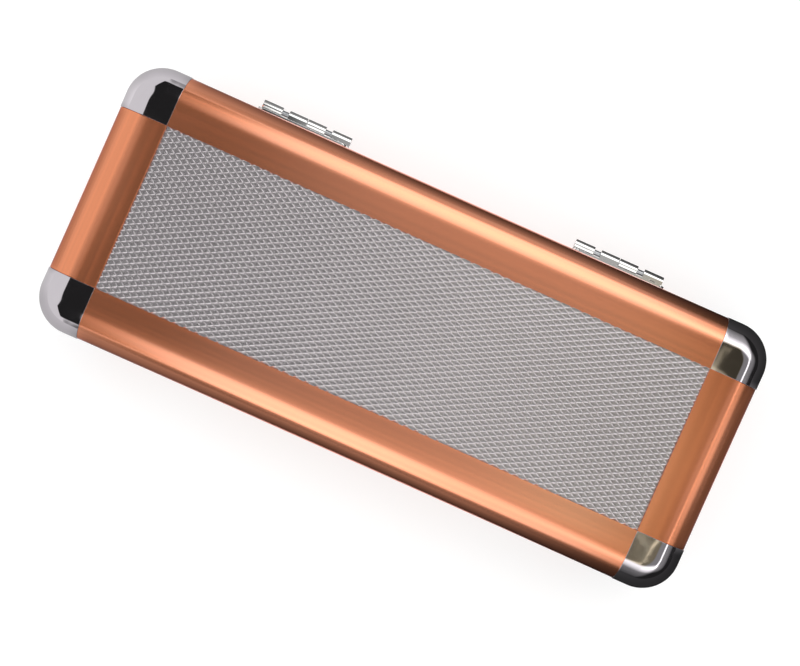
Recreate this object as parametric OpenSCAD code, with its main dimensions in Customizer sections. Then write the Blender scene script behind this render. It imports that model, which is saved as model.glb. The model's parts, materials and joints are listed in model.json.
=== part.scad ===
// Hinged art supply box: a slim case of anodised rails with textured panels,
// bright corner caps, two hinges and two flush draw latches.
// X runs along the case, +Y is the hinge side, +Z is up. The origin is the middle
// of the whole outline, hinges and latches included, on the plane the caps stand on.

/* [Case] */
// Length of the rail frame, outside
case_l = 310; // [270:1:420]
// Width of the rail frame from front to back, outside
case_w = 127; // [100:1:200]
// Height of the lid's rails above the parting line
lid_h = 28; // [28:0.5:60]
// Height of the base's rails below the parting line
base_h = 42; // [41.5:0.5:120]
// Gap between lid and base at the parting line
part_gap = 0.2; // [0.1:0.05:0.5]

/* [Rails] */
// Width of a rail seen from above
rail_w = 24.5; // [23.5:0.1:32]
// Radius of a rail's long outer edge
edge_r = 13; // [8:0.5:13]
// Wall of a rail
rail_t = 1.2; // [1:0.1:1.6]
// Width of the hollow rim beside the parting line
rim_w = 7; // [6.6:0.1:9]
// Height of the hollow rim
rim_h = 7; // [5.5:0.1:7.5]
// Depth of the slot that holds the panel
slot_d = 8; // [5:0.5:8.5]
// Thickness of the slot's web and rib
rib_t = 1.2; // [0.8:0.1:1.6]
// Height of the tongue on the base's rim
tongue_h = 2; // [1:0.1:2.2]
// Thickness of the tongue
tongue_t = 1.2; // [0.8:0.1:2]
// Gap around the tongue
tongue_gap = 0.5; // [0.4:0.05:0.8]

/* [Corners] */
// Radius of the case's upright corners
corner_r = 17; // [14:0.5:22]
// Wall of a corner cap
cap_t = 1; // [0.8:0.1:1.5]
// How far a cap stands proud of the rails
cap_proud = 0.3; // [0.1:0.05:0.6]
// Length of a corner key's arm inside a rail
spigot_l = 14; // [8:1:24]
// Height of a corner key above the rim
key_rise = 3; // [1:0.5:4]
// Radius of the screw that draws a cap onto its key
screw_r = 1.25; // [1:0.05:1.5]
// Depth of the screw in the cap's boss
screw_bite = 5; // [3:0.5:6]
// Radius of the cap's boss
boss_r = 2.2; // [2:0.1:2.4]

/* [Panels and lining] */
// Thickness of the textured skin
skin_t = 0.6; // [0.4:0.1:1]
// Thickness of the board behind the skin
board_t = 3; // [2:0.1:4]
// Wall of the moulded lining
liner_t = 1.5; // [1:0.1:3]
// Padded floor of the lining
liner_floor = 2; // [1:0.1:4]

/* [Hinges] */
// Distance of each hinge's middle from the end of the case
hinge_inset = 77.3; // [60:0.1:110]
// Length of a hinge
hinge_l = 43.6; // [36:0.5:60]
// Length of a hinge's end knuckle
knuckle_end = 9.5; // [6:0.1:12]
// Open gap beside each end knuckle
knuckle_gap = 3.2; // [0.6:0.1:3.4]
// Seam between the two middle knuckles
knuckle_seam = 0.3; // [0.2:0.05:0.6]
// Outside radius of the knuckles
knuckle_r = 2.4; // [2.2:0.1:3]
// Radius of the hinge pin
hinge_pin_r = 1.25; // [1:0.05:1.3]
// Thickness of a hinge leaf
leaf_t = 1; // [0.8:0.1:1.1]
// Height of a hinge leaf from the parting line
leaf_h = 14.5; // [14.2:0.1:15]
// Rivets in each leaf
leaf_rivets = 3; // [2:1:4]

/* [Latches] */
// Distance of each latch's middle from the end of the case
latch_inset = 70; // [50:1:90]
// Width of the latch housing's well
well_w = 26; // [24:0.5:36]
// Height of the latch housing's well
well_h = 25; // [24:0.5:25.5]
// Depth of the latch housing's well, outside
well_d = 5.6; // [5.2:0.1:5.6]
// Sheet thickness of the latch's housing and strike
sheet_t = 0.8; // [0.6:0.1:0.9]
// Width of the housing's flange beside the well
flange_w = 4.6; // [4.5:0.1:6]
// Width of the housing's flange under the well
flange_drop = 3; // [2:0.1:3.5]
// Thickness of the lever and its ears
lever_t = 1.2; // [1:0.1:1.4]
// How far the lever stands proud of the rail
lever_proud = 1; // [0.6:0.1:1.2]
// How far the lever's finger lip stands proud of the rail
lip_proud = 2; // [1.4:0.1:2.2]
// Depth of the lever's pivot behind the rail's face
pivot_in = 1.2; // [1.1:0.05:1.3]
// Depth of the claw's pivot behind the rail's face
claw_in = 1.4; // [1.2:0.1:1.6]
// Height of the lever's pivot below the parting line
pivot_z = 6; // [5:0.1:7]
// Distance from the lever's pivot down to the claw's pivot
throw = 7.5; // [6.5:0.1:8]
// Height of the claw above the parting line
claw_rise = 5.5; // [5.2:0.1:5.8]
// Thickness of the claw
claw_t = 1; // [0.8:0.1:1.1]
// Reach of the claw's hook behind the rail's face
hook_reach = 2.3; // [2:0.05:2.3]
// Radius of the latch's pins
latch_pin_r = 1; // [0.8:0.05:1]

/* [Fasteners] */
// Radius of a rivet's shank
rivet_r = 1.25; // [1:0.05:1.4]
// Radius of a rivet's head
rivet_head_r = 2; // [1.8:0.05:2.2]
// Height of a rivet's head
rivet_head_h = 0.5; // [0.3:0.05:0.7]

/* [Hidden] */
$fn = 48;

// Colours
anodised = [0.72, 0.42, 0.26];
chromed = [0.82, 0.83, 0.85];
textured = [0.66, 0.65, 0.65];
fibreboard = [0.45, 0.34, 0.24];
lining = [0.09, 0.09, 0.10];
zinc_plate = [0.62, 0.63, 0.64];
moulded = [0.16, 0.16, 0.17];

// Clearances
run_gap = 0.05;          // radial, pin in knuckle, ear or claw
slip_gap = 0.1;          // between pieces that slide together and stay
seat_gap = 0.3;          // between pieces that move past each other
panel_gap = 0.4;         // around the panel inside its slot
over = 1;                // how far a cutter runs past what it cuts

// Sides and corners
FRONT = 0;
RIGHT = 1;
BACK = 2;
LEFT = 3;
SIDES = [-1, 1];
CORNERS = [[-1, -1], [1, -1], [-1, 1], [1, 1]];

// Levels, as distances from the parting plane
lip_z = part_gap / 2;                                  // where both rails begin
lid_rim_z = lip_z + tongue_h + tongue_gap;             // bottom of the lid's hollow rim
base_rim_z = lip_z;                                    // top of the base's hollow rim
slot_h = skin_t + board_t + 2 * slip_gap;              // height of the panel slot
part_z = base_h + cap_proud;                           // the parting plane above the ground

// Hinge axis, measured out from the back rail
hinge_out = leaf_t + seat_gap + knuckle_r;
hinge_reach = hinge_out + knuckle_r;
case_y = (lip_proud - hinge_reach) / 2;                // middle of the rail frame
hinge_x = case_l / 2 - hinge_inset;                     // out from the middle of the case
knuckle_mid = (hinge_l - 2 * knuckle_end - 2 * knuckle_gap - knuckle_seam) / 2;
leaf_rivet_z = (lid_rim_z + rim_h + lid_h - edge_r) / 2;
leaf_rivet_edge = 6;                                   // end rivets in from the leaf's ends
leaf_rivet_pitch = (hinge_l - 2 * leaf_rivet_edge) / (leaf_rivets - 1);
leaf_corner_r = 2.5;

// Corner keys and screws
key_in = cap_t - cap_proud + slip_gap;
boss_in = (key_in + rim_w) / 2;
boss_at = corner_r - (corner_r - boss_in) * cos(45);
screw_head_over = 0.75;
screw_head_r = screw_r + screw_head_over;
screw_head_h = 1.2;

// Lining
liner_in = rim_w + seat_gap;
liner_drop = 0.4;

// Latch
latch_x = case_l / 2 - latch_inset;                     // out from the middle of the case
ear_gap = 0.6;                                         // beside the lever's ears
claw_gap = 1;                                          // beside the claw
ear_x = well_w / 2 - sheet_t - ear_gap;                // outside of the lever's ears
claw_w = 2 * (ear_x - lever_t - claw_gap);             // width of the claw
claw_z = -pivot_z - throw;                             // claw's pivot
barrel_wall = 0.9;
barrel_r = latch_pin_r + barrel_wall;                  // rolled end of the claw
ear_wall = 1.1;
ear_r = latch_pin_r + ear_wall;                        // round ends of the ears
lever_top = claw_z - barrel_r - seat_gap;
finger_room = 2.2;                                     // open well under the lever
lever_end = -(well_h - sheet_t - finger_room);
lip_h = 1.2;                                           // height of the finger lip
tip_h = 2;                                             // drop of the claw's hook
strike_in = hook_reach + seat_gap;                     // face of the strike's lip
strike_pocket = claw_t + 2 * slip_gap;                          // room behind the strike's lip
strike_lip_h = claw_rise - claw_t - seat_gap;
strike_w = claw_w + 1;
window_rise = 1.9;                                     // room above the claw
window_z = claw_rise + window_rise;                    // top of the window in the lid's rail
strike_top = lid_rim_z + rim_h - 2 * slip_gap;                  // level of the strike's shelf
strike_tab_h = 2 * (rivet_head_r + seat_gap);
strike_rivet_x = claw_w / 4;
rivet_room = 0.4;                                      // between a rivet's head and a rim
strike_rivet_z = strike_top + rivet_head_r + rivet_room;
flange_rivet_x = well_w / 2 + rivet_head_r + slip_gap;
rivet_face = 0.6;                                      // flat of a rivet's head, as a share
pivot_head_h = 0.3;
pivot_head_over = 0.5;

// ---------- frames and helpers ----------

module lid_frame() translate([0, case_y, part_z]) children();

module base_frame() translate([0, case_y, part_z]) mirror([0, 0, 1]) children();

// Child drawn at the front, turned round to one of the four sides.
module on_side(side)
    rotate([0, 0, 90 * side]) translate([0, -(side % 2 == 0 ? case_w : case_l) / 2, 0]) children();

// Child drawn with the case's outer corner at the origin and the inside at +x, +y.
module at_corner(c)
    translate([c[0] * case_l / 2, c[1] * case_w / 2, 0])
        mirror([c[0] > 0 ? 1 : 0, 0, 0]) mirror([0, c[1] > 0 ? 1 : 0, 0]) children();

// Section drawn in x, y, run along X with its own x pointing into the case.
module along_x(length) rotate([90, 0, 90]) linear_extrude(length) children();

// Section drawn as distance in from the outer face, swept round an upright corner.
module round_corner()
    translate([corner_r, corner_r, 0]) rotate([0, 0, 180]) rotate_extrude(angle = 90)
        translate([corner_r, 0]) mirror([1, 0]) children();

module both_legs() for (m = [0, 1]) mirror([m, -m, 0]) children();

module quarter(r) intersection() {
    circle(r);
    translate([-r, 0]) square(r);
}

module slab(size, r) {
    x = size[0] - 2 * r;
    y = size[1] - 2 * r;
    square([x, size[1]], center = true);
    square([size[0], y], center = true);
    for (i = SIDES, j = SIDES) translate([i * x / 2, j * y / 2]) circle(r);
}

// Everything inside the outer face of a half, set in by inset: x is the distance in
// from the outer face, y the distance from the parting plane.
module form(h, inset, far, low) {
    translate([edge_r, low]) square([far - edge_r, h - inset - low]);
    translate([inset, low]) square([edge_r - inset, h - edge_r - low]);
    translate([edge_r, h - edge_r]) quarter(edge_r - inset);
}

// ---------- rails ----------

module rail_section(h, rim_z) {
    slot_z = h - rail_t - slot_h - rib_t;
    difference() {
        form(h, 0, rail_w, lip_z);
        form(h, rail_t, rail_w + over, lip_z - over);
    }
    translate([0, rim_z]) difference() {
        square([rim_w, rim_h]);
        translate([rail_t, rail_t]) square([rim_w - 2 * rail_t, rim_h - 2 * rail_t]);
    }
    translate([rail_w - slot_d - rib_t, slot_z]) square([slot_d + rib_t, rib_t]);
    translate([rail_w - slot_d - rib_t, slot_z]) square([rib_t, slot_h + 2 * rib_t]);
}

module tongue_section()
    translate([rail_t + tongue_gap, lip_z - tongue_h]) square([tongue_t, tongue_h + rail_t / 2]);

function rail_l(side) = (side % 2 == 0 ? case_l : case_w) - 2 * rail_w;

module lid_rail(side)
    on_side(side) translate([-rail_l(side) / 2, 0, 0]) along_x(rail_l(side))
        rail_section(lid_h, lid_rim_z);

module base_rail(side)
    on_side(side) translate([-rail_l(side) / 2, 0, 0]) along_x(rail_l(side)) {
        rail_section(base_h, base_rim_z);
        tongue_section();
    }

// Rivet holes for the two leaves, through the back rail's wall.
module leaf_holes()
    for (s = SIDES) translate([s * hinge_x, case_w / 2, 0]) leaf_rivet_places()
        translate([0, 0, -rail_t - over]) cylinder(r = rivet_r + run_gap, h = rail_t + 2 * over);

module lid_front_rail() color(anodised) lid_frame() difference() {
    lid_rail(FRONT);
    for (s = SIDES) translate([s * latch_x, -case_w / 2, 0]) {
        translate([-strike_w / 2 - slip_gap, -over, -over])
            cube([strike_w + 2 * slip_gap, over + rail_t + slip_gap, window_z + over]);
        translate([-strike_w / 2 - slip_gap, rail_t, -over])
            cube([strike_w + 2 * slip_gap, well_d + slip_gap - rail_t, lid_rim_z + rim_h + 2 * over]);
        strike_rivet_places() translate([0, 0, -rail_t - over]) {
            cylinder(r = rivet_r + run_gap, h = rail_t + 2 * over);
            translate([0, 0, over + rail_t - rivet_head_h])
                cylinder(r = rivet_head_r + run_gap, h = rivet_head_h + over);
        }
    }
}

module lid_back_rail() color(anodised) lid_frame() difference() {
    lid_rail(BACK);
    leaf_holes();
}

module base_front_rail() color(anodised) base_frame() difference() {
    base_rail(FRONT);
    for (s = SIDES) translate([s * latch_x, -case_w / 2, 0]) {
        translate([-well_w / 2 - slip_gap, -over, -tongue_h - over])
            cube([well_w + 2 * slip_gap, over + well_d + slip_gap, tongue_h + over + well_h + slip_gap]);
        flange_rivet_places() translate([0, 0, -rail_t - over])
            cylinder(r = rivet_r + run_gap, h = rail_t + 2 * over);
    }
}

module base_back_rail() color(anodised) base_frame() difference() {
    base_rail(BACK);
    leaf_holes();
}

module lid_side_rail(side) color(anodised) lid_frame() lid_rail(side);

module base_side_rail(side) color(anodised) base_frame() base_rail(side);

// ---------- corners ----------

// Solid under the cap's face, set in by inset; past runs it beyond its open edges.
module cap_form(h, inset, past) {
    low = lip_z - past;
    round_corner() form(h, inset, corner_r, low);
    both_legs() translate([corner_r, 0, 0]) along_x(rail_w - corner_r + past)
        form(h, inset, rail_w + past, low);
}

module corner_cap(h, rim_z) {
    boss_z = rim_z + rim_h + key_rise + slip_gap;
    difference() {
        cap_form(h, -cap_proud, 0);
        cap_form(h, cap_t - cap_proud, over);
    }
    difference() {
        intersection() {
            translate([boss_at, boss_at, boss_z]) cylinder(r = boss_r, h = h);
            cap_form(h, -cap_proud / 2, 0);
        }
        translate([boss_at, boss_at, boss_z - over])
            cylinder(r = screw_r + run_gap, h = screw_bite + slip_gap + over);
    }
}

module corner_key(rim_z) {
    spigot = [spigot_l + slip_gap, rim_w - 2 * rail_t - 2 * slip_gap, rim_h - 2 * rail_t - 2 * slip_gap];
    difference() {
        union() {
            round_corner() translate([key_in, rim_z])
                square([rim_w - key_in, rim_h + key_rise]);
            both_legs() {
                translate([corner_r, key_in, rim_z])
                    cube([rail_w - corner_r - slip_gap, rim_w - key_in, rim_h]);
                translate([rail_w - slip_gap, rail_t + slip_gap, rim_z + rail_t + slip_gap])
                    cube(spigot);
            }
        }
        translate([boss_at, boss_at, rim_z - over]) {
            cylinder(r = screw_r + slip_gap, h = rim_h + key_rise + 2 * over);
            cylinder(r = screw_head_r + slip_gap, h = screw_head_h + slip_gap + over);
        }
    }
}

module cap_screw(rim_z) translate([boss_at, boss_at, rim_z + slip_gap]) {
    cylinder(r = screw_head_r, h = screw_head_h);
    cylinder(r = screw_r, h = rim_h + key_rise + screw_bite - slip_gap);
}

module lid_cap(c) color(chromed) lid_frame() at_corner(c) corner_cap(lid_h, lid_rim_z);

module base_cap(c) color(chromed) base_frame() at_corner(c) corner_cap(base_h, base_rim_z);

module lid_key(c) color(moulded) lid_frame() at_corner(c) corner_key(lid_rim_z);

module base_key(c) color(moulded) base_frame() at_corner(c) corner_key(base_rim_z);

module lid_cap_screws() color(zinc_plate) lid_frame()
    for (c = CORNERS) at_corner(c) cap_screw(lid_rim_z);

module base_cap_screws() color(zinc_plate) base_frame()
    for (c = CORNERS) at_corner(c) cap_screw(base_rim_z);

// ---------- panels and lining ----------

module panel_layer(z, t) {
    edge = rail_w - slot_d + panel_gap;
    translate([edge - case_l / 2, edge - case_w / 2, z])
        cube([case_l - 2 * edge, case_w - 2 * edge, t]);
}

module skin(h) panel_layer(h - rail_t - slip_gap - skin_t, skin_t);

module board(h) panel_layer(h - rail_t - slip_gap - skin_t - board_t, board_t);

module liner(h) {
    low = lip_z + liner_drop;
    high = h - rail_t - slot_h - rib_t - slip_gap;
    size = [case_l - 2 * liner_in, case_w - 2 * liner_in];
    r = corner_r - liner_in;
    difference() {
        translate([0, 0, low]) linear_extrude(high - low) slab(size, r);
        translate([0, 0, low - over]) linear_extrude(high - liner_floor - low + over)
            slab([size[0] - 2 * liner_t, size[1] - 2 * liner_t], r - liner_t);
    }
}

module lid_skin() color(textured) lid_frame() skin(lid_h);
module lid_board() color(fibreboard) lid_frame() board(lid_h);
module lid_liner() color(lining) lid_frame() liner(lid_h);
module base_skin() color(textured) base_frame() skin(base_h);
module base_board() color(fibreboard) base_frame() board(base_h);
module base_liner() color(lining) base_frame() liner(base_h);

// ---------- rivets ----------

// Axis along +Z: the head stands on z = 0 and the tail closes under the grip.
module rivet(grip) {
    cylinder(r1 = rivet_head_r, r2 = rivet_head_r * rivet_face, h = rivet_head_h);
    translate([0, 0, -grip - slip_gap]) cylinder(r = rivet_r, h = grip + slip_gap);
    translate([0, 0, -grip - slip_gap - rivet_head_h])
        cylinder(r = rivet_head_r, h = rivet_head_h);
}

// Rivet whose head lies flush in the wall.
module flush_rivet(grip) {
    translate([0, 0, -rivet_head_h]) cylinder(r = rivet_head_r, h = rivet_head_h);
    translate([0, 0, -grip - slip_gap]) cylinder(r = rivet_r, h = grip + slip_gap);
    translate([0, 0, -grip - slip_gap - rivet_head_h])
        cylinder(r = rivet_head_r, h = rivet_head_h);
}

module leaf_rivet_places()
    for (i = [0 : leaf_rivets - 1])
        translate([(i - (leaf_rivets - 1) / 2) * leaf_rivet_pitch, 0, leaf_rivet_z])
            rotate([-90, 0, 0]) children();

module strike_rivet_places()
    for (s = SIDES) translate([s * strike_rivet_x, 0, strike_rivet_z]) rotate([90, 0, 0]) children();

// Drawn in the base's frame, so heights are depths below the parting plane.
module flange_rivet_places()
    for (s = SIDES, z = [base_rim_z + rim_h + rivet_head_r + rivet_room, well_h - rivet_head_r])
        translate([s * flange_rivet_x, 0, z]) rotate([90, 0, 0]) children();

module lid_hinge_rivets() color(chromed) lid_frame()
    for (s = SIDES) translate([s * hinge_x, case_w / 2 + leaf_t, 0])
        leaf_rivet_places() rivet(leaf_t + rail_t);

module base_hinge_rivets() color(chromed) base_frame()
    for (s = SIDES) translate([s * hinge_x, case_w / 2 + leaf_t, 0])
        leaf_rivet_places() rivet(leaf_t + rail_t);

module strike_rivets() color(anodised) lid_frame()
    for (s = SIDES) translate([s * latch_x, -case_w / 2, 0])
        strike_rivet_places() flush_rivet(rail_t + slip_gap + sheet_t);

module latch_rivets() color(chromed) base_frame()
    for (s = SIDES) translate([s * latch_x, -case_w / 2 - sheet_t, 0])
        flange_rivet_places() rivet(sheet_t + rail_t);

// ---------- hinges ----------

module hinge_at(s) translate([s * hinge_x, case_y + case_w / 2, part_z]) children();

module knuckle(x, length) translate([x, 0, 0]) {
    translate([0, hinge_out, 0]) rotate([0, 90, 0]) cylinder(r = knuckle_r, h = length);
    translate([0, 0, knuckle_r - leaf_t]) cube([length, hinge_out, leaf_t]);
}

// The leaf of the lid; the base has the same stamping, turned half round.
module leaf() difference() {
    union() {
        translate([0, leaf_t, 0]) rotate([90, 0, 0]) linear_extrude(leaf_t) {
            translate([-hinge_l / 2, seat_gap]) square([hinge_l, leaf_h / 2]);
            translate([0, (leaf_h + seat_gap) / 2]) slab([hinge_l, leaf_h - seat_gap], leaf_corner_r);
        }
        knuckle(-knuckle_seam / 2 - knuckle_mid, knuckle_mid);
        knuckle(hinge_l / 2 - knuckle_end, knuckle_end);
    }
    translate([-hinge_l, hinge_out, 0]) rotate([0, 90, 0])
        cylinder(r = hinge_pin_r + run_gap, h = 2 * hinge_l);
    leaf_rivet_places() translate([0, 0, -over])
        cylinder(r = rivet_r + run_gap, h = leaf_t + 2 * over);
}

module lid_hinge_leaf(s) color(chromed) hinge_at(s) leaf();

module base_hinge_leaf(s) color(chromed) hinge_at(s) rotate([0, 180, 0]) leaf();

module hinge_pin(s) color(zinc_plate) hinge_at(s)
    translate([-hinge_l / 2, hinge_out, 0]) rotate([0, 90, 0]) cylinder(r = hinge_pin_r, h = hinge_l);

// ---------- latches ----------

// Latch pieces are drawn with x across, y into the case from the rail's face and
// z up from the parting plane.
module latch_at(s) translate([s * latch_x, case_y - case_w / 2, part_z]) children();

module pin_hole(y, z, r) translate([-well_w, y, z]) rotate([0, 90, 0]) cylinder(r = r, h = 2 * well_w);

module latch_housing(s) color(chromed) latch_at(s) difference() {
    union() {
        translate([-well_w / 2, 0, -well_h]) cube([well_w, well_d, well_h - seat_gap]);
        translate([-well_w / 2 - flange_w, -sheet_t, -well_h - flange_drop])
            cube([well_w + 2 * flange_w, sheet_t, well_h + flange_drop - seat_gap]);
    }
    translate([sheet_t - well_w / 2, -over, sheet_t - well_h])
        cube([well_w - 2 * sheet_t, well_d - sheet_t + over, well_h]);
    pin_hole(pivot_in, -pivot_z, latch_pin_r + run_gap);
    mirror([0, 0, 1]) flange_rivet_places() translate([0, 0, -over])
        cylinder(r = rivet_r + run_gap, h = sheet_t + 2 * over);
}

// Side view of one ear, as depth and height.
module ear() {
    translate([pivot_in, -pivot_z]) circle(ear_r);
    translate([claw_in, claw_z]) circle(ear_r);
    translate([pivot_in - ear_r, claw_z]) square([2 * ear_r, throw]);
    translate([-lever_proud, lever_top - ear_r]) square([ear_r + lever_proud, ear_r]);
    translate([pivot_in - ear_r, lever_top - slip_gap]) square([2 * ear_r, claw_z - lever_top]);
}

module lever(s) color(chromed) latch_at(s) difference() {
    union() {
        translate([-ear_x, -lever_proud, lever_end]) cube([2 * ear_x, lever_t, lever_top - lever_end]);
        translate([-ear_x, -lip_proud, lever_end]) cube([2 * ear_x, lip_proud, lip_h]);
        for (x = [-ear_x, ear_x - lever_t]) translate([x, 0, 0]) along_x(lever_t) ear();
    }
    pin_hole(pivot_in, -pivot_z, latch_pin_r + run_gap);
    pin_hole(claw_in, claw_z, latch_pin_r + run_gap);
}

// Side view of the claw: rolled barrel, flat plate and a hook turned in and down.
module claw_section() {
    face = claw_in - barrel_r;
    translate([claw_in, claw_z]) circle(barrel_r);
    translate([face, claw_z]) square([claw_t, claw_rise - claw_z]);
    translate([face, claw_rise - claw_t]) square([hook_reach - face, claw_t]);
    translate([hook_reach - claw_t, claw_rise - tip_h]) square([claw_t, tip_h]);
}

module claw(s) color(chromed) latch_at(s) difference() {
    translate([-claw_w / 2, 0, 0]) along_x(claw_w) claw_section();
    pin_hole(claw_in, claw_z, latch_pin_r + run_gap);
}

module claw_pin(s) color(zinc_plate) latch_at(s)
    translate([-ear_x, claw_in, claw_z]) rotate([0, 90, 0]) cylinder(r = latch_pin_r, h = 2 * ear_x);

// Two short headed pins in each housing carry the lever's ears.
module latch_pivot_pins() color(zinc_plate)
    for (s = SIDES, m = [0, 1]) latch_at(s) mirror([m, 0, 0])
        translate([ear_x - lever_t - slip_gap, pivot_in, -pivot_z]) rotate([0, 90, 0]) {
            translate([0, 0, -pivot_head_h]) cylinder(r = latch_pin_r + pivot_head_over, h = pivot_head_h);
            cylinder(r = latch_pin_r, h = well_w / 2 - ear_x + lever_t + slip_gap);
        }

// Side view of the strike: upturned lip, pocket, back, shelf and riveted tab.
module strike_section() {
    back = strike_in + sheet_t + strike_pocket;
    translate([strike_in, seat_gap]) square([sheet_t, strike_lip_h - seat_gap]);
    translate([strike_in, seat_gap]) square([back + sheet_t - strike_in, sheet_t]);
    translate([back, seat_gap]) square([sheet_t, strike_top - seat_gap]);
    translate([rail_t + slip_gap, strike_top - sheet_t])
        square([back + sheet_t - rail_t - slip_gap, sheet_t]);
    translate([rail_t + slip_gap, strike_top - sheet_t]) square([sheet_t, strike_tab_h + sheet_t]);
}

module strike(s) color(zinc_plate) latch_at(s) difference() {
    translate([-strike_w / 2, 0, 0]) along_x(strike_w) strike_section();
    strike_rivet_places() translate([0, 0, -rail_t - sheet_t - over])
        cylinder(r = rivet_r + run_gap, h = rail_t + sheet_t + 2 * over);
}

// ---------- nodes ----------

lid_front_rail();
lid_back_rail();
lid_side_rail(LEFT);  // lid_left_rail
lid_side_rail(RIGHT);  // lid_right_rail
lid_skin();
lid_board();
lid_liner();
lid_cap([-1, -1]);  // lid_cap_front_left
lid_cap([1, -1]);  // lid_cap_front_right
lid_cap([-1, 1]);  // lid_cap_back_left
lid_cap([1, 1]);  // lid_cap_back_right
lid_key([-1, -1]);  // lid_key_front_left
lid_key([1, -1]);  // lid_key_front_right
lid_key([-1, 1]);  // lid_key_back_left
lid_key([1, 1]);  // lid_key_back_right
lid_cap_screws();
lid_hinge_leaf(-1);  // lid_hinge_leaf_left
lid_hinge_leaf(1);  // lid_hinge_leaf_right
lid_hinge_rivets();
strike(-1);  // strike_left
strike(1);  // strike_right
strike_rivets();
base_front_rail();
base_back_rail();
base_side_rail(LEFT);  // base_left_rail
base_side_rail(RIGHT);  // base_right_rail
base_skin();
base_board();
base_liner();
base_cap([-1, -1]);  // base_cap_front_left
base_cap([1, -1]);  // base_cap_front_right
base_cap([-1, 1]);  // base_cap_back_left
base_cap([1, 1]);  // base_cap_back_right
base_key([-1, -1]);  // base_key_front_left
base_key([1, -1]);  // base_key_front_right
base_key([-1, 1]);  // base_key_back_left
base_key([1, 1]);  // base_key_back_right
base_cap_screws();
base_hinge_leaf(-1);  // base_hinge_leaf_left
base_hinge_leaf(1);  // base_hinge_leaf_right
base_hinge_rivets();
hinge_pin(-1);  // hinge_pin_left
hinge_pin(1);  // hinge_pin_right
latch_housing(-1);  // latch_housing_left
latch_housing(1);  // latch_housing_right
latch_rivets();
latch_pivot_pins();
lever(-1);  // lever_left
lever(1);  // lever_right
claw_pin(-1);  // claw_pin_left
claw_pin(1);  // claw_pin_right
claw(-1);  // claw_left
claw(1);  // claw_right
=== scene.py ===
"""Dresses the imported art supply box: finished rails, caps, panels, hinges, latches and lining."""

import json
import math

import bmesh
import bpy
from bpy.props import FloatProperty, FloatVectorProperty, IntProperty, PointerProperty
from mathutils import Matrix, Vector

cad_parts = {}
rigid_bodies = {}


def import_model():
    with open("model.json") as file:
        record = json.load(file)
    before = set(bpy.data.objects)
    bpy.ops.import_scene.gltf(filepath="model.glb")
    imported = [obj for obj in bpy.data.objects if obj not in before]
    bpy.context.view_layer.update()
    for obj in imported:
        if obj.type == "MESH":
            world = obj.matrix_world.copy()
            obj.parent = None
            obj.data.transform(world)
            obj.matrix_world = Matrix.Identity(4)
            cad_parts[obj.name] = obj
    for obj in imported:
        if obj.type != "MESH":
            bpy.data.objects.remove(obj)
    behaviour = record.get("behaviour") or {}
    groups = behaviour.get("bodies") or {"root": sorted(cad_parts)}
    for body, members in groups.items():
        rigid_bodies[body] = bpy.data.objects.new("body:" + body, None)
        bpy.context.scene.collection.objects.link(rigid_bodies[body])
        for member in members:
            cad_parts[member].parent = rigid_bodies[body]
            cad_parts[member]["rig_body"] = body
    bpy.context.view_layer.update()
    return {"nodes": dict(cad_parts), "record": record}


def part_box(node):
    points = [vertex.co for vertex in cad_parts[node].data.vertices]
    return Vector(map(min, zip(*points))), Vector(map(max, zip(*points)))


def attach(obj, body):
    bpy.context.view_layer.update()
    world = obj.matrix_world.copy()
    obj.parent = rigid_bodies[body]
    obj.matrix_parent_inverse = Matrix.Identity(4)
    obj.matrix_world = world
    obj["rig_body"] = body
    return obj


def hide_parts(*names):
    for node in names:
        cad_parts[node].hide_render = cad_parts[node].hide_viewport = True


bl_info = {
    "name": "Art supply box",
    "version": (1, 0, 0),
    "blender": (4, 5, 0),
    "location": "3D View > Sidebar > Art box",
    "description": "Dresses a packed art supply box with detailed pieces and finishes",
    "category": "Object",
}

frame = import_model()
NODES = frame["nodes"]
HALVES = ("lid", "base")
SIDES = ("front", "back", "left", "right")
HANDS = ("left", "right")
DEPTHS = ("front", "back")
MM = 0.001
WELD = 0.001 * MM  # closer points become one
NEAR = 0.002 * MM  # points this close count as level
WHITE = (1.0, 1.0, 1.0)


# ---------- settings ----------

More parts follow.
